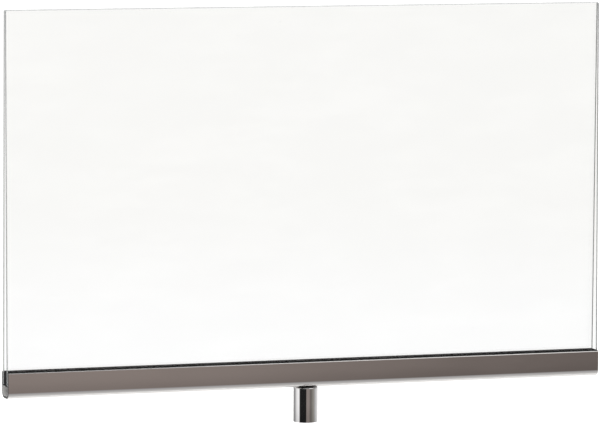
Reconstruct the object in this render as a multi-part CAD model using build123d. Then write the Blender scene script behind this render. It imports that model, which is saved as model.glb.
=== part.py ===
from build123d import *
import math
import os

# Table-top guard: two clear leaves stand in a polished U rail and close towards the top.
# The rail turns on a short stem whose tapped foot screws onto a post or a counter stud.
#
# Frame: origin at the mouth of the stem's tapped hole, +Z up, the rail lies along X,
# the front is -Y. Millimetres.

# Driving dimensions
WIDTH = 560.0  # rail and leaves, end to end
LEAF_ABOVE_RAIL = 319.0  # height of leaf that shows above the rail
LEAF_IN_RAIL = 12.0  # depth of leaf held in the rail
LEAF_THICKNESS = 3.0
SPREAD_AT_RAIL = 11.8  # between the leaves' mid planes at the rail's top
SPREAD_AT_TOP = 4.0  # the same at the leaves' top edges
LEAF_CORNER_RADIUS = 1.5
LEAF_ARRIS = 0.3

RAIL_DEPTH = 21.0  # front to back, outside
RAIL_HEIGHT = 23.0
RAIL_WALL = 1.6
RAIL_FLOOR = 2.0
RAIL_CORNER_RADIUS = 6.0  # lower outside edges
RAIL_TIP_RADIUS = 0.78  # rounds the walls' top edges

STEM_RADIUS = 11.0
STEM_HEIGHT = 31.5
STEM_FOOT_CHAMFER = 0.3
STEM_HEAD_CHAMFER = 0.6
FOOT_HOLE_RADIUS = 4.25  # tapping size for an M10 thread
FOOT_HOLE_DEPTH = 11.0
FOOT_HOLE_LEAD = 0.5  # chamfer at the hole's mouth
DRILL_POINT = 59.0  # half angle of the drill's point, in degrees

SHOULDER_RADIUS = 4.0
SHOULDER_LENGTH = 7.1
SCREW_THREAD_RADIUS = 3.0
SCREW_THREAD_LENGTH = 12.0
SCREW_HEAD_RADIUS = 6.5
SCREW_HEAD_HEIGHT = 3.4
SCREW_SOCKET_ACROSS_FLATS = 4.0
SCREW_SOCKET_DEPTH = 2.0
SCREW_EDGE = 0.4
SCREW_TIP_ROOM = 1.5  # below the screw's end, in the stem

THRUST_WASHER_THICKNESS = 0.45
THRUST_WASHER_RADIUS = 7.5
PLATE_LENGTH = 60.0
PLATE_THICKNESS = 2.5
BUSH_OUTER_RADIUS = 5.0
BUSH_FLANGE_RADIUS = 6.5
BUSH_FLANGE_THICKNESS = 0.8
FLAT_WASHER_THICKNESS = 0.6
WASHER_OUTER_RADIUS = 6.5
DISC_SPRING_THICKNESS = 0.3
DISC_SPRING_RADIUS = 6.3

BLOCK_LENGTH = 40.0
BLOCK_CHAMFER = 1.0
BLOCK_POSITION = WIDTH / 4  # the blocks stand a quarter of the width in from each end
GASKET_RIBS = 5  # the first and last are half ribs, flush with the strip's edges
GASKET_RIB_WIDTH = 1.0
GASKET_RIB_DEPTH = 0.5
STRIP_PROUD = 0.75  # how far the gaskets and the spacer stand above the rail

# Clearances
SLIDE_GAP = 0.06  # between a leaf and what guides it
RUNNING_GAP = 0.05  # between faces that turn on each other
LOOSE_GAP = 0.2  # radial, between washers and the shoulder
SEAT_GAP = 0.03  # radial or flat, between pieces fixed together

# Levels and angles that follow
RAIL_UNDERSIDE = STEM_HEIGHT + THRUST_WASHER_THICKNESS + RUNNING_GAP
RAIL_TOP = RAIL_UNDERSIDE + RAIL_HEIGHT
FLOOR_TOP = RAIL_UNDERSIDE + RAIL_FLOOR
LEAF_FOOT = RAIL_TOP - LEAF_IN_RAIL
BLOCK_TOP = LEAF_FOOT - RUNNING_GAP
STRIP_TOP = RAIL_TOP + STRIP_PROUD
LEAF_HEAD = RAIL_TOP + LEAF_ABOVE_RAIL
LEAN = math.atan2((SPREAD_AT_RAIL - SPREAD_AT_TOP) / 2, LEAF_ABOVE_RAIL)
CHANNEL_HALF = RAIL_DEPTH / 2 - RAIL_WALL
CHANNEL_RADIUS = RAIL_CORNER_RADIUS - RAIL_WALL
PLATE_TOP = FLOOR_TOP + PLATE_THICKNESS
FLANGE_TOP = PLATE_TOP + BUSH_FLANGE_THICKNESS
HEAD_SEAT = STEM_HEIGHT + SHOULDER_LENGTH
WASHER_INNER_RADIUS = SHOULDER_RADIUS + LOOSE_GAP

FRONT = -1
BACK = 1


def along_rail(profile, length, centre_x=0.0):
    """Extrude a profile drawn on the YZ plane to both sides of centre_x."""
    return Pos(centre_x, 0, 0) * extrude(Plane.YZ * profile, length / 2, both=True)


def ring(inner, outer, low, high):
    """A flat ring about Z between two levels."""
    profile = Pos((inner + outer) / 2, (low + high) / 2) * Rectangle(outer - inner, high - low)
    return revolve(Plane.XZ * profile, Axis.Z)


def channel_profile(half_width, foot, head, radius):
    """A U-bottomed outline: straight sides, two rounded lower corners, flat head."""
    outline = Pos(0, (foot + head) / 2) * Rectangle(2 * half_width, head - foot)
    lower = outline.vertices().sort_by(Axis.Y)[:2]
    return fillet(lower, radius)


def leaf_mid(z):
    """Distance of a leaf's mid plane from the guard's mid plane at height z."""
    return SPREAD_AT_RAIL / 2 - (z - RAIL_TOP) * math.tan(LEAN)


def leaf_face(z, outward):
    """Distance of a leaf's outer (+1) or inner (-1) face from the guard's mid plane."""
    return leaf_mid(z) + outward * LEAF_THICKNESS / 2 / math.cos(LEAN)


def rail():
    outer = channel_profile(RAIL_DEPTH / 2, RAIL_UNDERSIDE, RAIL_TOP, RAIL_CORNER_RADIUS)
    inner = channel_profile(CHANNEL_HALF, FLOOR_TOP, RAIL_TOP + RAIL_WALL, CHANNEL_RADIUS)
    section = outer - inner
    section = fillet(section.vertices().sort_by(Axis.Y)[-4:], RAIL_TIP_RADIUS)
    centre_hole = Pos(0, 0, FLOOR_TOP) * Cylinder(BUSH_OUTER_RADIUS, 4 * RAIL_FLOOR)
    return along_rail(section, WIDTH) - centre_hole


def leaf(side):
    """One clear leaf, leaning towards the other; side is FRONT or BACK."""
    foot = LEAF_FOOT + LEAF_THICKNESS / 2 * math.sin(LEAN)
    height = (LEAF_HEAD - foot) / math.cos(LEAN)
    sheet = Pos(0, 0, height / 2) * Box(WIDTH, LEAF_THICKNESS, height)
    sheet = fillet(sheet.edges().filter_by(Axis.Y), LEAF_CORNER_RADIUS)
    faces = sheet.faces().filter_by(Axis.Y)
    sheet = chamfer(faces.edges(), LEAF_ARRIS)
    return Pos(0, side * leaf_mid(foot), foot) * Rot(X=side * math.degrees(LEAN)) * sheet


def gasket(side):
    """Glazing strip between a rail wall and a leaf, ribbed towards the leaf."""
    pitch = (STRIP_TOP - BLOCK_TOP) / (GASKET_RIBS - 1)
    points = [(CHANNEL_HALF, BLOCK_TOP)]
    for rib in range(GASKET_RIBS):
        crest = BLOCK_TOP + rib * pitch
        low = max(crest - GASKET_RIB_WIDTH / 2, BLOCK_TOP)
        high = min(crest + GASKET_RIB_WIDTH / 2, STRIP_TOP)
        groove = crest + pitch / 2
        points.append((leaf_face(low, 1) + SLIDE_GAP, low))
        points.append((leaf_face(high, 1) + SLIDE_GAP, high))
        if groove < STRIP_TOP:
            points.append((leaf_face(groove, 1) + SLIDE_GAP + GASKET_RIB_DEPTH, groove))
    points.append((CHANNEL_HALF, STRIP_TOP))
    outline = make_face(Polyline(*[(side * y, z) for y, z in points], close=True))
    return along_rail(outline, WIDTH)


def leaf_spacer():
    """Wedge between the leaves, level with the gaskets' tops."""
    low = leaf_face(BLOCK_TOP, -1) - SLIDE_GAP
    high = leaf_face(STRIP_TOP, -1) - SLIDE_GAP
    points = [(-low, BLOCK_TOP), (low, BLOCK_TOP), (high, STRIP_TOP), (-high, STRIP_TOP)]
    return along_rail(make_face(Polyline(*points, close=True)), WIDTH)


def channel_filler(top, length, centre_x=0.0):
    """A block that fits the channel's rounded floor, up to a level."""
    half_width = CHANNEL_HALF - SEAT_GAP
    whole = channel_profile(half_width, FLOOR_TOP, RAIL_TOP, CHANNEL_RADIUS - SEAT_GAP)
    keep = Pos(0, (FLOOR_TOP + top) / 2) * Rectangle(2 * half_width, top - FLOOR_TOP)
    return along_rail(whole & keep, length, centre_x)


def setting_block(centre_x):
    """Pad that carries both leaves clear of the rail's floor."""
    block = channel_filler(BLOCK_TOP, BLOCK_LENGTH, centre_x)
    return chamfer(block.faces().sort_by(Axis.Z)[-1].edges().filter_by(Axis.Y), BLOCK_CHAMFER)


def saddle_plate():
    plate = channel_filler(PLATE_TOP, PLATE_LENGTH)
    return plate - Pos(0, 0, PLATE_TOP) * Cylinder(BUSH_OUTER_RADIUS, 3 * PLATE_THICKNESS)


def swivel_bush():
    inner = SHOULDER_RADIUS + RUNNING_GAP
    sleeve = ring(inner, BUSH_OUTER_RADIUS - SEAT_GAP, RAIL_UNDERSIDE, FLANGE_TOP)
    flange = ring(inner, BUSH_FLANGE_RADIUS, PLATE_TOP, FLANGE_TOP)
    return sleeve + flange


def stem():
    barrel = Pos(0, 0, STEM_HEIGHT / 2) * Cylinder(STEM_RADIUS, STEM_HEIGHT)
    rims = barrel.edges().filter_by(GeomType.CIRCLE).sort_by(Axis.Z)
    barrel = chamfer(rims[0], STEM_FOOT_CHAMFER)
    rims = barrel.edges().filter_by(GeomType.CIRCLE).sort_by(Axis.Z)
    barrel = chamfer(rims[-1], STEM_HEAD_CHAMFER)
    mouth = FOOT_HOLE_RADIUS + FOOT_HOLE_LEAD
    tip = FOOT_HOLE_DEPTH + FOOT_HOLE_RADIUS / math.tan(math.radians(DRILL_POINT))
    outline = Polyline(
        (0, 0),
        (mouth, 0),
        (FOOT_HOLE_RADIUS, FOOT_HOLE_LEAD),
        (FOOT_HOLE_RADIUS, FOOT_HOLE_DEPTH),
        (0, tip),
        close=True,
    )
    foot_hole = revolve(Plane.XZ * make_face(outline), Axis.Z)
    head_hole_depth = SCREW_THREAD_LENGTH + SCREW_TIP_ROOM
    head_hole = Pos(0, 0, STEM_HEIGHT - head_hole_depth / 2) * Cylinder(
        SCREW_THREAD_RADIUS + SEAT_GAP, head_hole_depth
    )
    return barrel - foot_hole - head_hole


def thrust_washer():
    top = STEM_HEIGHT + THRUST_WASHER_THICKNESS
    return ring(WASHER_INNER_RADIUS, THRUST_WASHER_RADIUS, STEM_HEIGHT, top)


def stem_screw():
    end = STEM_HEIGHT - SCREW_THREAD_LENGTH
    top = HEAD_SEAT + SCREW_HEAD_HEIGHT
    outline = Polyline(
        (0, end),
        (SCREW_THREAD_RADIUS - SCREW_EDGE, end),
        (SCREW_THREAD_RADIUS, end + SCREW_EDGE),
        (SCREW_THREAD_RADIUS, STEM_HEIGHT),
        (SHOULDER_RADIUS, STEM_HEIGHT),
        (SHOULDER_RADIUS, HEAD_SEAT),
        (SCREW_HEAD_RADIUS, HEAD_SEAT),
        (SCREW_HEAD_RADIUS, top - SCREW_EDGE),
        (SCREW_HEAD_RADIUS - SCREW_EDGE, top),
        (0, top),
        close=True,
    )
    body = revolve(Plane.XZ * make_face(outline), Axis.Z)
    hexagon = RegularPolygon(SCREW_SOCKET_ACROSS_FLATS / 2, 6, major_radius=False)
    return body - Pos(0, 0, top - SCREW_SOCKET_DEPTH) * extrude(hexagon, 2 * SCREW_SOCKET_DEPTH)


def flat_washer():
    low = FLANGE_TOP + RUNNING_GAP
    return ring(WASHER_INNER_RADIUS, WASHER_OUTER_RADIUS, low, low + FLAT_WASHER_THICKNESS)


def disc_spring():
    """Coned washer: its rim rests on the flat washer, its bore under the screw head."""
    low = FLANGE_TOP + RUNNING_GAP + FLAT_WASHER_THICKNESS
    outline = Polyline(
        (DISC_SPRING_RADIUS, low),
        (DISC_SPRING_RADIUS, low + DISC_SPRING_THICKNESS),
        (WASHER_INNER_RADIUS, HEAD_SEAT),
        (WASHER_INNER_RADIUS, HEAD_SEAT - DISC_SPRING_THICKNESS),
        close=True,
    )
    return revolve(Plane.XZ * make_face(outline), Axis.Z)


PARTS = {
    "rail": rail(),
    "front_leaf": leaf(FRONT),
    "back_leaf": leaf(BACK),
    "front_gasket": gasket(FRONT),
    "back_gasket": gasket(BACK),
    "leaf_spacer": leaf_spacer(),
    "left_setting_block": setting_block(-BLOCK_POSITION),
    "right_setting_block": setting_block(BLOCK_POSITION),
    "saddle_plate": saddle_plate(),
    "swivel_bush": swivel_bush(),
    "stem": stem(),
    "thrust_washer": thrust_washer(),
    "stem_screw": stem_screw(),
    "flat_washer": flat_washer(),
    "disc_spring": disc_spring(),
}

os.makedirs("parts", exist_ok=True)
for name, shape in PARTS.items():
    export_step(shape, f"parts/{name}.step")
    print(f"{name:22s} {shape.volume / 1000:9.3f} cm3")
print(f"lean {math.degrees(LEAN):.4f} deg, rail top {RAIL_TOP:.2f}, leaf top {LEAF_HEAD:.2f}")
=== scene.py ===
"""Table guard of two clear leaves in a plated rail that turns on a short stem.

Run as a script. Lengths are in metres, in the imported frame's own axes: X along the rail,
-Y the front, Z up.
"""

import math

import bmesh
import bpy
from bpy.props import FloatProperty, FloatVectorProperty, IntProperty, PointerProperty
from mathutils import Matrix, Quaternion, Vector


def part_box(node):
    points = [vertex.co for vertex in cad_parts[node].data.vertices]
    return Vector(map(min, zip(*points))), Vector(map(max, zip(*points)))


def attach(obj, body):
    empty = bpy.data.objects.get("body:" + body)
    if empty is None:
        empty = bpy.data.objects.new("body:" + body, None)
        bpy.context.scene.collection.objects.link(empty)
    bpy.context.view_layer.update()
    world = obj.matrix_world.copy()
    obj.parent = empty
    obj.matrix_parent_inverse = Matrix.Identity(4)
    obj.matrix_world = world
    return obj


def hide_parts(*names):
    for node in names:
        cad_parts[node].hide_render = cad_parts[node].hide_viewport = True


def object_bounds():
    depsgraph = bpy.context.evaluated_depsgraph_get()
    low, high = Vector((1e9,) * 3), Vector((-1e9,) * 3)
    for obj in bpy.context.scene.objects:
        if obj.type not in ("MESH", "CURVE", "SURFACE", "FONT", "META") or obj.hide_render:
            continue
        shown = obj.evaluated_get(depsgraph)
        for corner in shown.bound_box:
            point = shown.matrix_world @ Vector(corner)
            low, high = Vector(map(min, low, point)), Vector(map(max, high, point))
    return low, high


bl_info = {
    "name": "Swivel table guard",
    "version": (1, 0, 0),
    "blender": (4, 5, 0),
    "location": "3D View > Sidebar > Guard",
    "description": "Builds a clear two-leaf guard on a swivelling rail, and a studio for it",
    "category": "Add Mesh",
}

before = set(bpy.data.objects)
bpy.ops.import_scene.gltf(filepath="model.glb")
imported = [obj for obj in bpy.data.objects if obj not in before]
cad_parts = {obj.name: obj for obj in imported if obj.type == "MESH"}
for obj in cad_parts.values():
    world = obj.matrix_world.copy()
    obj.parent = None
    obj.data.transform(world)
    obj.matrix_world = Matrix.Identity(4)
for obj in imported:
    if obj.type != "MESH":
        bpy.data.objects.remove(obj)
CAD_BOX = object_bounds()

MM = 0.001
FINE_TURN = math.radians(7.5)  # between the points of an arc
LATHE_SEGMENTS = 144
SHARP_ANGLE = math.radians(32.0)
MERGE_DISTANCE = 1e-7
CARD_GAIN = 1.4  # a colour ramp holds no colour over 1


# Shader expressions


class Value:
    """A node's output in a Python expression, where each step adds a Math node."""

    def __init__(self, graph, socket):
        self.graph = graph
        self.socket = socket

    def __add__(self, other):
        return self.graph.math("ADD", self, other)

    def __sub__(self, other):
        return self.graph.math("SUBTRACT", self, other)

    def __rsub__(self, other):
        return self.graph.math("SUBTRACT", other, self)

    def __mul__(self, other):
        return self.graph.math("MULTIPLY", self, other)

    __radd__ = __add__
    __rmul__ = __mul__


class Graph:
    """A node tree, filled one node at a time."""

    def __init__(self, owner):
        owner.use_nodes = True
        self.tree = owner.node_tree
        self.tree.nodes.clear()

    def add(self, kind, settings=None, values=None, output=0):
        """Add a node: its settings first, then its sockets' values or links."""
        node = self.tree.nodes.new(kind)
        for name, setting in (settings or {}).items():
            if name == "stops":
                self.set_stops(node.color_ramp, setting)
            else:
                setattr(node, name, setting)
        for name, value in (values or {}).items():
            if isinstance(value, Value):
                self.tree.links.new(value.socket, node.inputs[name])
            else:
                node.inputs[name].default_value = value
        return Value(self, node.outputs[output]) if node.outputs else None

    @staticmethod
    def set_stops(ramp, stops):
        """Give a colour ramp its stops, as (position, colour) pairs."""
        while len(ramp.elements) < len(stops):
            ramp.elements.new(1.0)
        for element, (position, colour) in zip(ramp.elements, stops):
            element.position = position
            element.color = (*colour, 1.0)

    def math(self, operation, *values):
        """One step of arithmetic on numbers and values."""
        return self.add("ShaderNodeMath", {"operation": operation}, dict(enumerate(values)))

    def ramp_up(self, value, low, high):
        """0 below low, 1 above high, smooth between."""
        limits = {"Value": value, "From Min": low, "From Max": high}
        return self.add("ShaderNodeMapRange", {"interpolation_type": "SMOOTHSTEP"}, limits)

    def mix(self, factor, first, second):
        """A colour between two colours."""
        values = {0: factor, 6: as_colour(first), 7: as_colour(second)}
        return self.add("ShaderNodeMix", {"data_type": "RGBA"}, values, output=2)

    def grain(self, per_metre, detail=3.0, roughness=0.5):
        """Noise fixed to the piece, with so many features per metre along X, Y and Z."""
        place = self.add("ShaderNodeTexCoord", output="Object")
        factors = {0: place, 1: per_metre}
        scaled = self.add("ShaderNodeVectorMath", {"operation": "MULTIPLY"}, factors)
        values = {"Vector": scaled, "Scale": 1.0, "Detail": detail, "Roughness": roughness}
        return self.add("ShaderNodeTexNoise", None, values)

    def bump(self, height, depth, strength):
        """A normal from a height that is 0 to 1, over a real depth."""
        values = {"Height": height, "Distance": depth, "Strength": strength}
        return self.add("ShaderNodeBump", None, values)

    def surface(self, shader):
        """Make the shader the material's surface."""
        self.add("ShaderNodeOutputMaterial", None, {"Surface": shader})


def as_colour(value):
    """A node's colour as it is, or a plain (r, g, b) with the alpha its socket needs."""
    return value if isinstance(value, Value) else (*value, 1.0)


def shade(colour, amount):
    """A colour made lighter or darker."""
    return tuple(min(1.0, channel * amount) for channel in colour)


def new_material(name, colour):
    """A named material with its plain viewport colour, and its empty graph."""
    material = bpy.data.materials.new(name)
    material.diffuse_color = (*colour, 1.0)
    return material, Graph(material)


def plating(name, colour, polish, lines, smears):
    """Bright plating over polished steel: fine lines one way, faint smears and thin spots."""
    material, graph = new_material(name, colour)
    line = graph.grain(lines, detail=4.0, roughness=0.6)
    smear = graph.grain(smears)
    spot = graph.ramp_up(graph.grain((900.0, 900.0, 900.0), detail=2.0), 0.70, 0.78)
    tone = graph.mix(graph.ramp_up(smear, 0.35, 0.7), shade(colour, 0.97), shade(colour, 1.02))
    values = {
        "Base Color": graph.mix(spot * 0.25, tone, shade(colour, 0.8)),
        "Metallic": 1.0,
        "Roughness": polish + 0.03 * line + 0.04 * graph.ramp_up(smear, 0.45, 0.75) + 0.12 * spot,
        "Normal": graph.bump(line + 0.3 * smear, 0.0015 * MM, 0.5),
    }
    graph.surface(graph.add("ShaderNodeBsdfPrincipled", None, values))
    return material


def clear_sheet(colour, index):
    """Clear cast acrylic: wiped in faint arcs, with a trace of dust held by static."""
    material, graph = new_material("clear_acrylic", colour)
    wipe = graph.grain((9.0, 9.0, 30.0), detail=5.0, roughness=0.65)
    scratch = graph.grain((60.0, 60.0, 1900.0), detail=2.0)
    mote = graph.ramp_up(graph.grain((420.0, 420.0, 420.0), detail=1.0), 0.80, 0.84)
    clear = {
        "Base Color": graph.mix(graph.ramp_up(wipe, 0.4, 0.7), colour, shade(colour, 1.01)),
        "Transmission Weight": 1.0,
        "Roughness": 0.0,
        "IOR": index,
        "Normal": graph.bump(scratch, 0.0003 * MM, 0.3),
    }
    dust = {"Base Color": graph.mix(wipe, (0.75, 0.75, 0.74), (0.9, 0.9, 0.9)), "Roughness": 0.9}
    sheet = graph.add("ShaderNodeBsdfPrincipled", None, clear)
    dusty = graph.add("ShaderNodeBsdfPrincipled", None, dust)
    graph.surface(graph.add("ShaderNodeMixShader", None, {0: mote * 0.25, 1: sheet, 2: dusty}))
    return material


def sheet_edge(colour, index):
    """The sawn and polished edge: fine saw marks, and a grey light piped along the sheet."""
    material, graph = new_material("polished_edge", colour)
    saw = graph.grain((1400.0, 30.0, 1400.0), detail=2.0)
    cloud = graph.grain((70.0, 300.0, 70.0))
    values = {
        "Base Color": graph.mix(0.5 * cloud + 0.5 * saw, shade(colour, 0.75), shade(colour, 1.25)),
        "Transmission Weight": 0.55,
        "Roughness": 0.03 + 0.08 * cloud,
        "IOR": index,
        "Normal": graph.bump(saw, 0.004 * MM, 0.4),
    }
    graph.surface(graph.add("ShaderNodeBsdfPrincipled", None, values))
    return material


def moulded(name, colour, roughness, along, grit=0.012, gloss=0.3):
    """Rubber or plastic: flow lines one way, grit so many mm deep, and a paler bloom in patches."""
    material, graph = new_material(name, colour)
    line = graph.grain(along)
    pebble = graph.grain((2600.0, 2600.0, 2600.0), detail=2.0)
    bloom = graph.ramp_up(graph.grain((35.0, 120.0, 120.0), detail=4.0), 0.5, 0.8)
    pale = tuple(channel * 1.5 + 0.012 for channel in colour)
    values = {
        "Base Color": graph.mix(bloom * 0.6 + line * 0.2, colour, pale),
        "Roughness": roughness + 0.14 * bloom + 0.08 * (line - 0.5),
        "Specular IOR Level": gloss,
        "Normal": graph.bump(pebble + line, grit * MM, 0.6),
    }
    graph.surface(graph.add("ShaderNodeBsdfPrincipled", None, values))
    return material


def bare_metal(name, colour, roughness, along, spangle, metallic=1.0):
    """Turned, rolled or galvanised metal: tool lines with a soft spangle of crystals."""
    material, graph = new_material(name, colour)
    line = graph.grain(along, detail=4.0, roughness=0.7)
    place = graph.add("ShaderNodeTexCoord", output="Object")
    crystal = graph.add("ShaderNodeTexVoronoi", None, {"Vector": place, "Scale": spangle}, "Color")
    stain = graph.ramp_up(graph.grain((160.0, 160.0, 160.0), detail=4.0), 0.45, 0.75)
    tone = graph.mix(crystal * 0.5 + line * 0.4, shade(colour, 0.82), shade(colour, 1.15))
    values = {
        "Base Color": graph.mix(stain * 0.5, tone, shade(colour, 0.7)),
        "Metallic": metallic,
        "Roughness": roughness + 0.16 * stain + 0.1 * (line - 0.5),
        "Normal": graph.bump(line, 0.006 * MM, 0.7),
    }
    graph.surface(graph.add("ShaderNodeBsdfPrincipled", None, values))
    return material


def sweep_paper(colour):
    """The studio floor: matt, very slightly mottled, and clear from below."""
    material, graph = new_material("sweep_paper", colour)
    mottle = graph.grain((3.0, 3.0, 3.0), detail=5.0)
    values = {
        "Base Color": graph.mix(mottle, shade(colour, 0.985), colour),
        "Roughness": 0.85 + 0.1 * mottle,
    }
    paper = graph.add("ShaderNodeBsdfPrincipled", None, values)
    below = graph.add("ShaderNodeNewGeometry", output="Backfacing")
    open_side = graph.add("ShaderNodeBsdfTransparent")
    graph.surface(graph.add("ShaderNodeMixShader", None, {0: below, 1: paper, 2: open_side}))
    return material


# Shapes


def rounded(corners, turn_step=FINE_TURN):
    """An outline's points from (across, up, radius) corners, with an arc at each rounded one."""
    points = []
    for index, (across, up, radius) in enumerate(corners):
        corner = Vector((across, up))
        if not radius:
            points.append(corner)
            continue
        before = (Vector(corners[index - 1][:2]) - corner).normalized()
        after = (Vector(corners[(index + 1) % len(corners)][:2]) - corner).normalized()
        half = before.angle(after) / 2
        centre = corner + (before + after).normalized() * radius / math.sin(half)
        start = corner + before * radius / math.tan(half) - centre
        turn = math.pi - 2 * half
        side = 1.0 if before.cross(after) < 0 else -1.0
        steps = max(2, math.ceil(turn / turn_step))
        for step in range(steps + 1):
            swing = Matrix.Rotation(side * turn * step / steps, 2)
            points.append(centre + swing @ start)
    return points


def inset(outline, amount):
    """An anticlockwise outline moved towards its inside, where sharp points don't run far."""
    least_lean = 0.3
    moved = []
    count = len(outline)
    for index, point in enumerate(outline):
        to_here = (point - outline[index - 1]).normalized()
        from_here = (outline[(index + 1) % count] - point).normalized()
        lean = (to_here + from_here).normalized()
        reach = amount / max(least_lean, lean.dot(to_here))
        moved.append(point + Vector((-lean.y, lean.x)) * reach)
    return moved


def skin(rings, wrap=True, joined=False, capped=False):
    """A mesh over rows of points: wrap closes each row, joined closes the stack of rows."""
    bm = bmesh.new()
    rows = [[bm.verts.new(point) for point in ring] for ring in rings]
    following = rows[1:] + rows[:1] if joined else rows[1:]
    for row, above in zip(rows, following):
        for index in range(len(row) if wrap else len(row) - 1):
            after = (index + 1) % len(row)
            bm.faces.new((row[index], row[after], above[after], above[index]))
    if capped:
        bm.faces.new(rows[0])
        bm.faces.new(rows[-1])
    return bm


def angles():
    """The turns of a lathe's points."""
    return [math.tau * index / LATHE_SEGMENTS for index in range(LATHE_SEGMENTS)]


def around(radius, height):
    """A ring of points about Z; radius is a length, or gives one for an index and an angle."""
    reach = radius if callable(radius) else lambda index, angle: radius
    return [
        (reach(index, angle) * math.cos(angle), reach(index, angle) * math.sin(angle), height)
        for index, angle in enumerate(angles())
    ]


def lathe(outline, joined=False):
    """Turn (radius, height) points about Z; joined closes the outline into a ring's section."""
    return skin([around(radius, height) for radius, height in outline], joined=joined)


def thread(root, crest, pitch, low, high, trim):
    """A helical thread's skin: flats at root and crest radii, trimmed between two levels."""
    # As shares of the pitch, a quarter is flat at the root and an eighth at the crest.
    flats = ((-1 / 8, root), (1 / 8, root), (7 / 16, crest), (9 / 16, crest))
    turns = range(-2, math.ceil((high - low) / pitch) + 2)
    rows = []
    for turn in turns:
        for phase, radius in flats:
            row = []
            for angle in [*angles(), math.tau]:
                height = low + pitch * (turn + phase + angle / math.tau)
                height = min(max(height, low), high)
                reach = trim(height, radius)
                row.append((reach * math.cos(angle), reach * math.sin(angle), height))
            rows.append(row)
    return skin(rows, wrap=False)


def along_x(outline, low, high, end_break):
    """Run an outline of (across, up) points along X, with softened ends."""
    rings = []
    stations = ((low, end_break), (low + end_break, 0), (high - end_break, 0), (high, end_break))
    for x, shrink in stations:
        points = inset(outline, shrink) if shrink else outline
        rings.append([(x, point.x, point.y) for point in points])
    return skin(rings, capped=True)


def merged(*parts):
    """One mesh from several, for piece() to weld."""
    whole = parts[0]
    for part in parts[1:]:
        spare = bpy.data.meshes.new("spare")
        part.to_mesh(spare)
        part.free()
        whole.from_mesh(spare)
        bpy.data.meshes.remove(spare)
    return whole


def smooth(mesh):
    """Shade the mesh smooth, but keep its sharp edges and its flat, many-sided faces."""
    mesh.shade_smooth()
    mesh.set_sharp_from_angle(angle=SHARP_ANGLE)
    for polygon in mesh.polygons:
        polygon.use_smooth = len(polygon.vertices) <= 4


def piece(name, bm, materials):
    """Weld a mesh, name it, give it its materials and put it in the scene."""
    bmesh.ops.remove_doubles(bm, verts=bm.verts, dist=MERGE_DISTANCE)
    bmesh.ops.dissolve_degenerate(bm, edges=bm.edges, dist=MERGE_DISTANCE)
    bmesh.ops.recalc_face_normals(bm, faces=bm.faces)
    mesh = bpy.data.meshes.new(name)
    bm.to_mesh(mesh)
    bm.free()
    for material in materials:
        mesh.materials.append(material)
    smooth(mesh)
    made = bpy.data.objects.new(name, mesh)
    bpy.context.scene.collection.objects.link(made)
    return made


def fit(made, node, body):
    """Let a piece stand for a CAD node and move with a body."""
    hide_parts(node)
    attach(made, body)


def cut(made, cutter):
    """Take the cutter's shape out of a piece."""
    difference = made.modifiers.new("cut", "BOOLEAN")
    difference.operation = "DIFFERENCE"
    difference.solver = "EXACT"
    difference.object = cutter
    bpy.context.view_layer.update()
    state = bpy.context.evaluated_depsgraph_get()
    result = bpy.data.meshes.new_from_object(made.evaluated_get(state))
    made.modifiers.clear()
    made.data = result
    smooth(result)
    bpy.data.objects.remove(cutter)


def leaf_slope(thickness):
    """How far a leaf leans in over each metre of its height."""
    low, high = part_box("back_leaf")
    return (high.y - low.y - thickness) / (high.z - low.z)


# Sizes and colours


class StudioSettings(bpy.types.PropertyGroup):
    """Camera, floor and light."""

    azimuth: FloatProperty(
        name="Camera azimuth", description="Turn of the camera about Z, from the front towards +X",
        default=math.radians(-19.1), subtype="ANGLE", unit="ROTATION",
    )
    elevation: FloatProperty(
        name="Camera elevation", description="Rise of the camera above the horizon",
        default=math.radians(5.42), subtype="ANGLE", unit="ROTATION",
    )
    roll: FloatProperty(
        name="Camera roll", description="Turn of the camera about its own axis",
        default=math.radians(0.249), subtype="ANGLE", unit="ROTATION",
    )
    distance: FloatProperty(
        name="Camera distance", description="From the point aimed at to the camera",
        default=4.341, subtype="DISTANCE", unit="LENGTH",
    )
    aim: FloatVectorProperty(
        name="Aim offset", description="Point aimed at, from the centre of the guard",
        default=(-0.0061, 0.0, 0.0025), subtype="TRANSLATION", unit="LENGTH",
    )
    lens: FloatProperty(
        name="Lens", description="Focal length in millimetres for a 36 mm sensor",
        default=290.8, min=10.0,
    )
    floor_drop: FloatProperty(
        name="Floor drop", description="Height of the stem's foot above the floor",
        default=0.12, subtype="DISTANCE", unit="LENGTH",
    )
    floor_half: FloatProperty(
        name="Floor reach", description="Half the width of the floor",
        default=40.0, subtype="DISTANCE", unit="LENGTH",
    )
    floor_colour: FloatVectorProperty(
        name="Floor colour", description="Colour of the sweep paper",
        default=(0.93, 0.93, 0.93), subtype="COLOR", min=0.0, max=1.0,
    )
    softbox_power: FloatProperty(
        name="Softbox power", description="Power of the overhead softbox",
        default=40.0, min=0.0, unit="POWER",
    )


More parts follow.
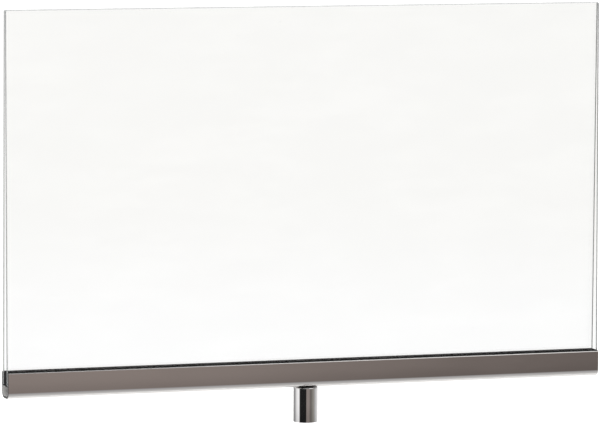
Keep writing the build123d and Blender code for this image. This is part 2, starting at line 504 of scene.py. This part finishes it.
class RailSettings(bpy.types.PropertyGroup):
    """The plated U rail."""

    corner_radius: FloatProperty(
        name="Corner radius", description="Lower outside corners of the rail",
        default=6.0 * MM, subtype="DISTANCE", unit="LENGTH",
    )
    tip_radius: FloatProperty(
        name="Tip radius", description="Rounding of the walls' top edges",
        default=0.78 * MM, subtype="DISTANCE", unit="LENGTH",
    )
    hole_radius: FloatProperty(
        name="Swivel hole", description="Radius of the hole that the swivel bush sits in",
        default=5.0 * MM, subtype="DISTANCE", unit="LENGTH",
    )
    end_break: FloatProperty(
        name="End break", description="Edge taken off the sawn ends",
        default=0.2 * MM, subtype="DISTANCE", unit="LENGTH",
    )
    colour: FloatVectorProperty(
        name="Plating", description="Colour of the rail's plating",
        default=(0.62, 0.60, 0.59), subtype="COLOR", min=0.0, max=1.0,
    )
    inside_colour: FloatVectorProperty(
        name="Channel", description="Colour of the unpolished metal inside the rail",
        default=(0.64, 0.63, 0.62), subtype="COLOR", min=0.0, max=1.0,
    )
    # Painted shade: the sawn ends' dark colour stands partly for bare steel and partly for the shade on the
    # rail's ends.
    end_colour: FloatVectorProperty(
        name="Sawn ends", description="Colour of the rail's sawn ends",
        default=(0.19, 0.185, 0.18), subtype="COLOR", min=0.0, max=1.0,
    )
    polish: FloatProperty(
        name="Polish", description="Least roughness of the plating",
        default=0.06, min=0.0, max=1.0,
    )


class LeafSettings(bpy.types.PropertyGroup):
    """The two clear leaves."""

    thickness: FloatProperty(
        name="Thickness", description="Thickness of each sheet",
        default=3.0 * MM, subtype="DISTANCE", unit="LENGTH",
    )
    corner_radius: FloatProperty(
        name="Corner radius", description="Rounding of each leaf's corners",
        default=1.5 * MM, subtype="DISTANCE", unit="LENGTH",
    )
    arris: FloatProperty(
        name="Arris", description="Rounding between a leaf's faces and its edges",
        default=0.5 * MM, subtype="DISTANCE", unit="LENGTH",
    )
    colour: FloatVectorProperty(
        name="Sheet tint", description="Colour of light through a leaf",
        default=(0.99, 0.99, 0.99), subtype="COLOR", min=0.0, max=1.0,
    )
    edge_colour: FloatVectorProperty(
        name="Edge tint", description="Colour of the polished edges",
        default=(0.42, 0.43, 0.43), subtype="COLOR", min=0.0, max=1.0,
    )
    index: FloatProperty(
        name="Refractive index", description="How strongly the sheet bends light",
        default=1.49, min=1.0, max=3.0,
    )


class StripSettings(bpy.types.PropertyGroup):
    """Glazing strips, the spacer between the leaves, and the pads under them."""

    ribs: IntProperty(
        name="Ribs", description="Ribs on each glazing strip, with a half rib at each edge",
        default=5, min=2,
    )
    rib_width: FloatProperty(
        name="Rib width", description="Width of a rib's crest",
        default=1.0 * MM, subtype="DISTANCE", unit="LENGTH",
    )
    rib_depth: FloatProperty(
        name="Rib depth", description="Depth of the grooves between ribs",
        default=0.5 * MM, subtype="DISTANCE", unit="LENGTH",
    )
    rubber: FloatVectorProperty(
        name="Strip rubber", description="Colour of the glazing strips",
        default=(0.02, 0.02, 0.02), subtype="COLOR", min=0.0, max=1.0,
    )
    plastic: FloatVectorProperty(
        name="Spacer plastic", description="Colour of the spacer",
        default=(0.015, 0.015, 0.016), subtype="COLOR", min=0.0, max=1.0,
    )
    pad_rubber: FloatVectorProperty(
        name="Pad rubber", description="Colour of the setting blocks",
        default=(0.06, 0.06, 0.06), subtype="COLOR", min=0.0, max=1.0,
    )


class StemSettings(bpy.types.PropertyGroup):
    """The turned stem and its tapped foot."""

    foot_chamfer: FloatProperty(
        name="Foot chamfer", description="Chamfer round the stem's foot",
        default=0.3 * MM, subtype="DISTANCE", unit="LENGTH",
    )
    head_chamfer: FloatProperty(
        name="Head chamfer", description="Chamfer round the stem's head",
        default=0.6 * MM, subtype="DISTANCE", unit="LENGTH",
    )
    edge_round: FloatProperty(
        name="Edge rounding", description="Polishing's rounding of the chamfers' edges",
        default=0.15 * MM, subtype="DISTANCE", unit="LENGTH",
    )
    bore: FloatProperty(
        name="Tapping drill", description="Radius of the foot's hole inside the thread",
        default=4.25 * MM, subtype="DISTANCE", unit="LENGTH",
    )
    thread_radius: FloatProperty(
        name="Thread radius", description="Radius at the bottom of the thread",
        default=5.0 * MM, subtype="DISTANCE", unit="LENGTH",
    )
    thread_pitch: FloatProperty(
        name="Thread pitch", description="Rise of the foot's thread in one turn",
        default=1.5 * MM, subtype="DISTANCE", unit="LENGTH",
    )
    hole_depth: FloatProperty(
        name="Hole depth", description="Depth of the foot's hole before the drill's point",
        default=11.0 * MM, subtype="DISTANCE", unit="LENGTH",
    )
    screw_hole: FloatProperty(
        name="Screw hole", description="Radius of the hole in the head for the stem screw",
        default=3.03 * MM, subtype="DISTANCE", unit="LENGTH",
    )
    colour: FloatVectorProperty(
        name="Plating", description="Colour of the stem's plating",
        default=(0.66, 0.65, 0.65), subtype="COLOR", min=0.0, max=1.0,
    )
    polish: FloatProperty(
        name="Polish", description="Least roughness of the stem's plating",
        default=0.05, min=0.0, max=1.0,
    )


class SwivelSettings(bpy.types.PropertyGroup):
    """The screw, washers, bush and plate that let the rail turn."""

    washer_hole: FloatProperty(
        name="Washer hole", description="Radius of the hole in the washers and the disc spring",
        default=4.2 * MM, subtype="DISTANCE", unit="LENGTH",
    )
    bush_bore: FloatProperty(
        name="Bush bore", description="Inside radius of the bush",
        default=4.05 * MM, subtype="DISTANCE", unit="LENGTH",
    )
    bush_sleeve: FloatProperty(
        name="Bush sleeve", description="Outside radius of the bush below its flange",
        default=4.97 * MM, subtype="DISTANCE", unit="LENGTH",
    )
    bush_flange: FloatProperty(
        name="Bush flange", description="Thickness of the bush's flange",
        default=0.8 * MM, subtype="DISTANCE", unit="LENGTH",
    )
    spring_gauge: FloatProperty(
        name="Spring gauge", description="Thickness of the disc spring's steel",
        default=0.3 * MM, subtype="DISTANCE", unit="LENGTH",
    )
    shoulder: FloatProperty(
        name="Screw shoulder", description="Radius of the screw's plain shoulder",
        default=4.0 * MM, subtype="DISTANCE", unit="LENGTH",
    )
    thread_crest: FloatProperty(
        name="Thread crest", description="Outside radius of the screw's thread",
        default=3.0 * MM, subtype="DISTANCE", unit="LENGTH",
    )
    thread_root: FloatProperty(
        name="Thread root", description="Radius at the bottom of the screw's thread",
        default=2.45 * MM, subtype="DISTANCE", unit="LENGTH",
    )
    thread_pitch: FloatProperty(
        name="Thread pitch", description="Rise of the screw's thread in one turn",
        default=1.0 * MM, subtype="DISTANCE", unit="LENGTH",
    )
    nylon: FloatVectorProperty(
        name="Washer nylon", description="Colour of the thrust washer",
        default=(0.02, 0.02, 0.02), subtype="COLOR", min=0.0, max=1.0,
    )
    bush: FloatVectorProperty(
        name="Bush plastic", description="Colour of the swivel bush",
        default=(0.10, 0.11, 0.12), subtype="COLOR", min=0.0, max=1.0,
    )
    zinc: FloatVectorProperty(
        name="Zinc", description="Colour of the plate and the flat washer",
        default=(0.62, 0.64, 0.66), subtype="COLOR", min=0.0, max=1.0,
    )
    screw: FloatVectorProperty(
        name="Screw steel", description="Colour of the screw",
        default=(0.35, 0.36, 0.37), subtype="COLOR", min=0.0, max=1.0,
    )
    spring: FloatVectorProperty(
        name="Spring steel", description="Colour of the disc spring",
        default=(0.30, 0.29, 0.28), subtype="COLOR", min=0.0, max=1.0,
    )


# Operators


class GUARD_OT_studio(bpy.types.Operator):
    """Make the floor, the light and the camera"""

    bl_idname = "guard.studio"
    bl_label = "Studio"

    def execute(self, context):
        studio = context.scene.guard_studio
        self.lay_floor(studio)
        self.light_dome(context.scene)
        self.hang_softboxes(studio)
        self.place_camera(context.scene, studio)
        context.scene.view_settings.view_transform = "Standard"
        return {"FINISHED"}

    def lay_floor(self, studio):
        """Lay a wide sheet of paper below the stem, for the camera and for bounced light only."""
        level = CAD_BOX[0].z - studio.floor_drop
        bm = bmesh.new()
        bmesh.ops.create_grid(bm, x_segments=8, y_segments=8, size=studio.floor_half)
        bmesh.ops.translate(bm, verts=bm.verts, vec=(0, 0, level))
        floor = piece("floor", bm, [sweep_paper(studio.floor_colour)])
        if floor.data.polygons[0].normal.z < 0:
            floor.data.flip_normals()
        floor.visible_glossy = False
        floor.visible_transmission = False

    def light_dome(self, scene):
        """A white studio all round, with grey and black cards that only mirror rays meet."""
        backdrop_white = (1.1, 1.1, 1.1)
        overhead = (1.5, 1.5, 1.5)
        horizon = (0.986, 0.986, 0.967)
        ground = (1.029, 1.034, 1.034)
        card_head = (1.0, 1.0, 1.0)
        card_foot = (0.83, 0.83, 0.83)
        left_ceiling = (0.45, 0.45, 0.45)
        right_ceiling = (1.25, 1.25, 1.25)

        world = bpy.data.worlds.new("studio")
        scene.world = world
        graph = Graph(world)
        heading = graph.add("ShaderNodeTexCoord", output="Generated")
        x, y, z = [graph.add("ShaderNodeSeparateXYZ", None, {0: heading}, axis) for axis in "XYZ"]
        camera_ray, glossy_ray, clear_ray = [
            graph.add("ShaderNodeLightPath", output=f"Is {kind} Ray")
            for kind in ("Camera", "Glossy", "Transmission")
        ]
        down = 0 - z

        low_dome = graph.mix(graph.ramp_up(down, 0.09, 0.125), horizon, ground)
        dome = graph.mix(graph.ramp_up(z, 0.3, 0.8), low_dome, overhead)

        turn = graph.math("ARCTAN2", x, 0 - y) * (1 / math.tau) + 0.5
        cards = graph.add("ShaderNodeValToRGB", {"stops": card_stops()}, {0: turn})
        shading = graph.mix(graph.ramp_up(down, 0.10, 0.22), card_head, card_foot)
        for gain in ((CARD_GAIN,) * 3, shading):
            cards = graph.add("ShaderNodeVectorMath", {"operation": "MULTIPLY"}, {0: cards, 1: gain})
        table = 1.04 + 0.62 * y
        table_grey = graph.add("ShaderNodeCombineXYZ", None, {0: table, 1: table, 2: table})
        lower = graph.mix(graph.ramp_up(down, 0.23, 0.53), cards, table_grey)
        right = graph.ramp_up(x, 0.27, 0.345)
        ceiling_edge = 0.5 - 0.35 * right
        above = graph.ramp_up(z, ceiling_edge, ceiling_edge + 0.45)
        mirrored = graph.mix(above, lower, graph.mix(right, left_ceiling, right_ceiling))

        mirror = glossy_ray * (1 - clear_ray)
        seen = graph.mix(camera_ray, graph.mix(mirror, dome, mirrored), backdrop_white)
        backdrop = graph.add("ShaderNodeBackground", None, {"Color": seen})
        graph.add("ShaderNodeOutputWorld", None, {"Surface": backdrop})

    def hang_softboxes(self, studio):
        """Two large soft lights, one overhead and one low at the front left."""
        centre = (CAD_BOX[0] + CAD_BOX[1]) / 2
        for name, place, width, share in (
            ("overhead_softbox", (0.0, -0.3, 2.2), 2.4, 1.0),
            ("front_softbox", (-1.8, -2.2, 1.2), 1.6, 0.35),
        ):
            light = bpy.data.lights.new(name, "AREA")
            light.shape = "SQUARE"
            light.size = width
            light.energy = studio.softbox_power * share
            lamp = bpy.data.objects.new(name, light)
            lamp.location = place
            lamp.rotation_mode = "QUATERNION"
            lamp.rotation_quaternion = (centre - lamp.location).to_track_quat("-Z", "Y")
            lamp.visible_glossy = False
            lamp.visible_transmission = False
            bpy.context.scene.collection.objects.link(lamp)

    def place_camera(self, scene, studio):
        """Put the camera at its heading, rise and distance, aimed near the guard's centre."""
        turn = studio.azimuth
        rise = studio.elevation
        level = Vector((math.sin(turn), -math.cos(turn), 0))
        back = level * math.cos(rise) + Vector((0, 0, math.sin(rise)))
        aim = (CAD_BOX[0] + CAD_BOX[1]) / 2 + Vector(studio.aim)
        camera = bpy.data.objects.new("camera", bpy.data.cameras.new("camera"))
        camera.data.lens = studio.lens
        camera.data.sensor_width = 36.0
        camera.location = aim + back * studio.distance
        camera.rotation_mode = "QUATERNION"
        upright = (-back).to_track_quat("-Z", "Y")
        camera.rotation_quaternion = upright @ Quaternion((0, 0, 1), studio.roll)
        scene.collection.objects.link(camera)
        scene.camera = camera


def card_stops():
    """What a mirror sees round the horizon: (share of a turn, colour), 0.5 being the front."""
    white = (1.0, 1.0, 1.0)
    warm = (1.0, 0.86, 0.80)
    olive = (1.0, 0.95, 0.86)
    cards = (
        (-180, 0.42, white),
        (-142, 0.42, white),
        (-124, 0.75, white),
        (-112, 1.15, white),
        (-84, 1.38, white),
        (-74, 0.02, white),
        (-14, 0.02, white),
        (-10, 0.372, warm),
        (17.2, 0.372, warm),
        (18.4, 0.350, warm),
        (20.2, 0.281, warm),
        (21.5, 0.231, warm),
        (23, 0.215, warm),
        (40, 0.235, olive),
        (50, 0.34, olive),
        (62, 0.40, olive),
        (75, 0.54, white),
        (90, 0.76, white),
        (107, 0.96, white),
        (130, 1.1, white),
        (148, 1.1, white),
        (156, 0.42, white),
        (180, 0.42, white),
    )
    return [
        (degrees / 360 + 0.5, tuple(grey / CARD_GAIN * channel for channel in tint))
        for degrees, grey, tint in cards
    ]


class GUARD_OT_rail(bpy.types.Operator):
    """Make the plated rail, bored for the swivel"""

    bl_idname = "guard.rail"
    bl_label = "Rail"

    def execute(self, context):
        rail = context.scene.guard_rail
        low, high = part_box("rail")
        channel = -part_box("front_gasket")[0].y
        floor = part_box("left_setting_block")[0].z
        wall = high.y - channel
        inner_radius = rail.corner_radius - wall
        outline = rounded((
            (low.y, high.z, rail.tip_radius),
            (low.y, low.z, rail.corner_radius),
            (high.y, low.z, rail.corner_radius),
            (high.y, high.z, rail.tip_radius),
            (channel, high.z, rail.tip_radius),
            (channel, floor, inner_radius),
            (-channel, floor, inner_radius),
            (-channel, high.z, rail.tip_radius),
        ))
        lines = (5.0, 1500.0, 1500.0)
        smears = (9.0, 60.0, 45.0)
        rolled = (4.0, 900.0, 900.0)
        sawn = (900.0, 60.0, 1800.0)
        plate = plating("rail_plating", rail.colour, rail.polish, lines, smears)
        materials = [
            plate,
            bare_metal("rail_inside", rail.inside_colour, 0.4, rolled, 300.0, metallic=0.35),
            # The sawn ends' material is painted dark, partly for the bare steel and partly for the shade on
            # the ends.
            bare_metal("sawn_end_and_shade", rail.end_colour, 0.35, sawn, 900.0),
        ]
        inside_slot, end_slot = 1, 2
        margin = 0.1 * wall
        bm = along_x(outline, low.x, high.x, rail.end_break)
        for face in bm.faces:
            centre = face.calc_center_median()
            in_channel = abs(centre.y) < channel + margin
            if abs(centre.x) > high.x - rail.end_break:
                face.material_index = end_slot
            elif in_channel and floor - margin < centre.z < high.z - wall:
                face.material_index = inside_slot
        made = piece("plated_rail", bm, materials)
        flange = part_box("swivel_bush")[1].z - floor
        foot = low.z - flange
        top = floor + flange
        radius = rail.hole_radius
        hole = lathe([(0, foot), (radius, foot), (radius, top), (0, top)])
        cut(made, piece("bore", hole, [plate]))
        fit(made, "rail", "rail")
        return {"FINISHED"}


class GUARD_OT_leaves(bpy.types.Operator):
    """Make the two clear leaves with rounded, polished edges"""

    bl_idname = "guard.leaves"
    bl_label = "Leaves"

    def execute(self, context):
        leaf = context.scene.guard_leaf
        materials = [clear_sheet(leaf.colour, leaf.index), sheet_edge(leaf.edge_colour, leaf.index)]
        for node, side in (("front_leaf", -1), ("back_leaf", 1)):
            made = self.make_leaf(f"clear_{node}", node, side, leaf, materials)
            fit(made, node, node)
        return {"FINISHED"}

    def make_leaf(self, name, node, side, leaf, materials):
        """A sheet with rounded corners and arrises, leaning in, with its edges in a finish of their own."""
        low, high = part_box(node)
        lean = math.atan(leaf_slope(leaf.thickness))
        height = (high.z - low.z - leaf.thickness * math.sin(lean)) / math.cos(lean)
        outline = rounded((
            (low.x, 0, leaf.corner_radius),
            (high.x, 0, leaf.corner_radius),
            (high.x, height, leaf.corner_radius),
            (low.x, height, leaf.corner_radius),
        ))
        rings = []
        arris_steps = 4
        for step in range(arris_steps + 1):
            turn = math.pi / 2 * step / arris_steps
            depth = leaf.thickness / 2 - leaf.arris * (1 - math.cos(turn))
            rings.append((leaf.arris * (1 - math.sin(turn)), -depth))
        rings += [(shrink, -depth) for shrink, depth in reversed(rings)]
        skins = [[(p.x, depth, p.y) for p in inset(outline, shrink)] for shrink, depth in rings]
        bm = skin(skins, capped=True)
        for face in bm.faces:
            face.material_index = 1 if len(face.verts) == 4 else 0  # the two sides have more
        tilt = Matrix.Rotation(side * lean, 3, "X")
        bmesh.ops.rotate(bm, verts=bm.verts, cent=(0, 0, 0), matrix=tilt)
        corner = Vector([min(vert.co[axis] for vert in bm.verts) for axis in range(3)])
        bmesh.ops.translate(bm, verts=bm.verts, vec=low - corner)
        return piece(name, bm, materials)


class GUARD_OT_strips(bpy.types.Operator):
    """Make the glazing strips, the spacer and the setting blocks"""

    bl_idname = "guard.strips"
    bl_label = "Strips and blocks"

    def execute(self, context):
        strip = context.scene.guard_strip
        slope = leaf_slope(context.scene.guard_leaf.thickness)
        end_break = 0.05 * MM
        drawn = (4.0, 900.0, 900.0)
        planed = (3.0, 700.0, 700.0)
        even = (60.0, 60.0, 60.0)
        rubber = moulded("gasket_rubber", strip.rubber, 0.75, drawn, gloss=0.0)
        plastic = moulded("spacer_plastic", strip.plastic, 0.75, planed, gloss=0.0)
        pad = moulded("block_rubber", strip.pad_rubber, 0.7, even, grit=0.03)
        for node, side in (("front_gasket", -1), ("back_gasket", 1)):
            low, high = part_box(node)
            outline = self.strip_outline(low, high, side, strip, slope)
            made = piece(f"ribbed_{node}", along_x(outline, low.x, high.x, end_break), [rubber])
            fit(made, node, "rail")
        self.make_spacer(plastic, slope)
        for node in ("left_setting_block", "right_setting_block"):
            self.make_block(node, pad)
        return {"FINISHED"}

    def strip_outline(self, low, high, side, strip, slope):
        """Back flat against the rail's wall, rounded ribs towards the leaf."""
        wall = max(abs(low.y), abs(high.y))
        crest_at_top = min(abs(low.y), abs(high.y))
        pitch = (high.z - low.z) / (strip.ribs - 1)
        soft = 0.12 * MM
        corners = [(wall, high.z, soft)]
        for rib in reversed(range(strip.ribs)):
            middle = low.z + rib * pitch
            crest = crest_at_top + (high.z - middle) * slope
            top = min(middle + strip.rib_width / 2, high.z)
            foot = max(middle - strip.rib_width / 2, low.z)
            corners.append((crest, top, soft))
            corners.append((crest, foot, soft))
            if rib:
                corners.append((crest + strip.rib_depth, middle - pitch / 2, soft))
        corners.append((wall, low.z, soft))
        outline = rounded(corners, turn_step=math.radians(22.0))
        if side < 0:
            outline = [Vector((-point.x, point.y)) for point in reversed(outline)]
        return outline

    def make_spacer(self, plastic, slope):
        """A bar that narrows upwards as the leaves lean in."""
        low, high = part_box("leaf_spacer")
        draw_in = (high.z - low.z) * slope
        soft = 0.3 * MM
        end_break = 0.15 * MM
        outline = rounded((
            (low.y, low.z, soft),
            (high.y, low.z, soft),
            (high.y - draw_in, high.z, soft),
            (low.y + draw_in, high.z, soft),
        ))
        made = piece("wedge_spacer", along_x(outline, low.x, high.x, end_break), [plastic])
        fit(made, "leaf_spacer", "rail")

    def make_block(self, node, pad):
        """A pad with a drain groove along its foot."""
        low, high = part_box(node)
        foot_radius = 4.4 * MM
        soft = 0.4 * MM
        end_break = 0.6 * MM
        groove = 1.5 * MM
        groove_top = low.z + groove / 2
        outline = rounded((
            (low.y, low.z, foot_radius),
            (-groove, low.z, soft),
            (-groove / 2, groove_top, soft),
            (groove / 2, groove_top, soft),
            (groove, low.z, soft),
            (high.y, low.z, foot_radius),
            (high.y, high.z, soft),
            (low.y, high.z, soft),
        ))
        made = piece(f"moulded_{node}", along_x(outline, low.x, high.x, end_break), [pad])
        fit(made, node, "rail")


class GUARD_OT_stem(bpy.types.Operator):
    """Make the plated stem with its threaded foot"""

    bl_idname = "guard.stem"
    bl_label = "Stem"

    def execute(self, context):
        stem = context.scene.guard_stem
        low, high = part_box("stem")
        radius = high.x
        soft = stem.edge_round
        lead_in = 0.3 * MM
        countersink = 0.2 * MM
        room_under_screw = 1.5 * MM
        drill_half_angle = math.radians(59.0)
        screw_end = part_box("stem_screw")[0].z - room_under_screw
        mouth = stem.thread_radius + countersink
        deep = low.z + stem.hole_depth
        drill_tip = deep + stem.bore / math.tan(drill_half_angle)
        corners = (
            (mouth, low.z, 0),
            (radius - stem.foot_chamfer, low.z, soft),
            (radius, low.z + stem.foot_chamfer, soft),
            (radius, high.z - stem.head_chamfer, soft),
            (radius - stem.head_chamfer, high.z, soft),
            (stem.screw_hole + lead_in, high.z, 0),
            (stem.screw_hole, high.z - lead_in, 0),
            (stem.screw_hole, screw_end, 0),
            (0, screw_end, 0),
        )
        outside = lathe(rounded(corners, turn_step=math.radians(15.0)))
        run_out = 2.0 * stem.thread_pitch

        def trim(height, reach):
            """Countersink at the mouth, and the tap's taper at the bottom."""
            depth = min(1.0, (deep - height) / run_out)
            cut_radius = stem.bore + (reach - stem.bore) * depth
            return max(cut_radius, mouth - (height - low.z))

        bore = thread(stem.bore, stem.thread_radius, stem.thread_pitch, low.z, deep, trim)
        drill_point = lathe([(stem.bore, deep), (0, drill_tip)])
        lines = (700.0, 700.0, 2400.0)
        smears = (160.0, 160.0, 90.0)
        plate = plating("stem_plating", stem.colour, stem.polish, lines, smears)
        made = piece("plated_stem", merged(outside, bore, drill_point), [plate])
        fit(made, "stem", "stem")
        return {"FINISHED"}


class GUARD_OT_swivel(bpy.types.Operator):
    """Make the screw, washers, bush and plate of the swivel"""

    bl_idname = "guard.swivel"
    bl_label = "Swivel hardware"

    def execute(self, context):
        swivel = context.scene.guard_swivel
        turned = (500.0, 500.0, 2600.0)
        rolled = (90.0, 700.0, 90.0)
        even = (300.0, 300.0, 300.0)
        nylon = moulded("washer_nylon", swivel.nylon, 0.45, turned)
        bush = moulded("bush_plastic", swivel.bush, 0.5, turned)
        zinc = bare_metal("zinced_steel", swivel.zinc, 0.3, rolled, 420.0)
        steel = bare_metal("screw_steel", swivel.screw, 0.28, turned, 2600.0)
        blued = bare_metal("spring_steel", swivel.spring, 0.34, even, 1500.0)
        self.make_washer("thrust_washer", "moulded_thrust_washer", "washer_nylon", nylon, swivel)
        self.make_washer("flat_washer", "stamped_flat_washer", "zinced_steel", zinc, swivel)
        self.make_bush(bush, swivel)
        self.make_spring(blued, swivel)
        self.make_screw(steel, swivel)
        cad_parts["saddle_plate"].data.materials[0] = zinc
        return {"FINISHED"}

    def make_washer(self, node, name, slot, material, swivel):
        """A flat ring with softened edges."""
        low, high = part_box(node)
        inner = swivel.washer_hole
        soft = 0.12 * MM
        outline = rounded((
            (inner, low.z, soft),
            (high.x, low.z, soft),
            (high.x, high.z, soft),
            (inner, high.z, soft),
        ), turn_step=math.radians(18.0))
        made = piece(name, lathe(outline, joined=True), [material])
        fit(made, node, "stem")

    def make_bush(self, material, swivel):
        """A sleeve through the rail's floor, with a flange on top of it."""
        low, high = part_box("swivel_bush")
        inner = swivel.bush_bore
        sleeve = swivel.bush_sleeve
        shoulder = high.z - swivel.bush_flange
        soft = 0.15 * MM
        outline = rounded((
            (inner, low.z, soft),
            (sleeve, low.z, soft),
            (sleeve, shoulder, 0),
            (high.x, shoulder, soft),
            (high.x, high.z, soft),
            (inner, high.z, soft),
        ), turn_step=math.radians(18.0))
        made = piece("flanged_bush", lathe(outline, joined=True), [material])
        fit(made, "swivel_bush", "rail")

    def make_spring(self, material, swivel):
        """A shallow cone, higher at its hole than at its rim."""
        low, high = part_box("disc_spring")
        inner = swivel.washer_hole
        gauge = swivel.spring_gauge
        soft = 0.06 * MM
        outline = rounded((
            (inner, high.z - gauge, soft),
            (high.x, low.z, soft),
            (high.x, low.z + gauge, soft),
            (inner, high.z, soft),
        ), turn_step=math.radians(30.0))
        made = piece("coned_disc_spring", lathe(outline, joined=True), [material])
        fit(made, "disc_spring", "stem")

    def make_screw(self, material, swivel):
        """A shoulder screw: knurled socket head, plain shoulder, threaded end."""
        low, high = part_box("stem_screw")
        head_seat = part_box("disc_spring")[1].z
        thread_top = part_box("stem")[1].z
        root = swivel.thread_root
        shoulder = swivel.shoulder
        flats = 2.0 * MM
        socket_floor = high.z - 2.0 * MM
        socket_point = socket_floor - 0.5 * MM
        tip_radius = root - 0.3 * MM
        knurl = 0.14 * MM
        edge = 0.4 * MM

        def knurled(index, angle):
            """Every other point cut in."""
            return high.x - knurl * (index % 2)

        def hexagon(index, angle):
            """The six flats of the socket."""
            sixth = math.tau / 6
            return flats / math.cos((angle + sixth / 2) % sixth - sixth / 2)

        rings = [
            around(root, thread_top),
            around(shoulder, thread_top),
            around(shoulder, head_seat),
            around(high.x - edge, head_seat),
            around(high.x - knurl, head_seat + knurl),
            around(knurled, head_seat + 2 * edge),
            around(knurled, high.z - 2 * edge),
            around(high.x - knurl, high.z - edge),
            around(high.x - edge, high.z),
            around(hexagon, high.z),
            around(hexagon, socket_floor),
            around(0, socket_point),
        ]

        def trim(height, reach):
            """Pointed start, and a relief groove under the shoulder."""
            relief = min(1.0, (thread_top - height) / swivel.thread_pitch)
            cut_radius = root + (reach - root) * relief
            return min(cut_radius, tip_radius + (height - low.z))

        rod = thread(root, swivel.thread_crest, swivel.thread_pitch, low.z, thread_top, trim)
        tip = lathe([(tip_radius, low.z), (0, low.z)])
        made = piece("shoulder_screw", merged(skin(rings), rod, tip), [material])
        fit(made, "stem_screw", "stem")


class GUARD_PT_panel(bpy.types.Panel):
    """Lists the guard's pieces in the order they are made"""

    bl_idname = "GUARD_PT_panel"
    bl_label = "Swivel table guard"
    bl_space_type = "VIEW_3D"
    bl_region_type = "UI"
    bl_category = "Guard"

    def draw(self, context):
        for operator in OPERATORS:
            self.layout.operator(operator.bl_idname)
        for name in SETTINGS:
            box = self.layout.box()
            group = getattr(context.scene, name)
            for prop in group.bl_rna.properties:
                if not prop.is_readonly and prop.identifier != "name":
                    box.prop(group, prop.identifier)


OPERATORS = (
    GUARD_OT_studio,
    GUARD_OT_rail,
    GUARD_OT_leaves,
    GUARD_OT_strips,
    GUARD_OT_stem,
    GUARD_OT_swivel,
)

SETTINGS = {
    "guard_studio": StudioSettings,
    "guard_rail": RailSettings,
    "guard_leaf": LeafSettings,
    "guard_strip": StripSettings,
    "guard_stem": StemSettings,
    "guard_swivel": SwivelSettings,
}


def register():
    for kind in (*SETTINGS.values(), *OPERATORS, GUARD_PT_panel):
        bpy.utils.register_class(kind)
    for name, kind in SETTINGS.items():
        setattr(bpy.types.Scene, name, PointerProperty(type=kind))


def unregister():
    for name in SETTINGS:
        delattr(bpy.types.Scene, name)
    for kind in (GUARD_PT_panel, *OPERATORS, *SETTINGS.values()):
        bpy.utils.unregister_class(kind)


def main():
    """Make every piece."""
    register()
    for operator in OPERATORS:
        family, name = operator.bl_idname.split(".")
        getattr(getattr(bpy.ops, family), name)()


if __name__ == "__main__":
    main()
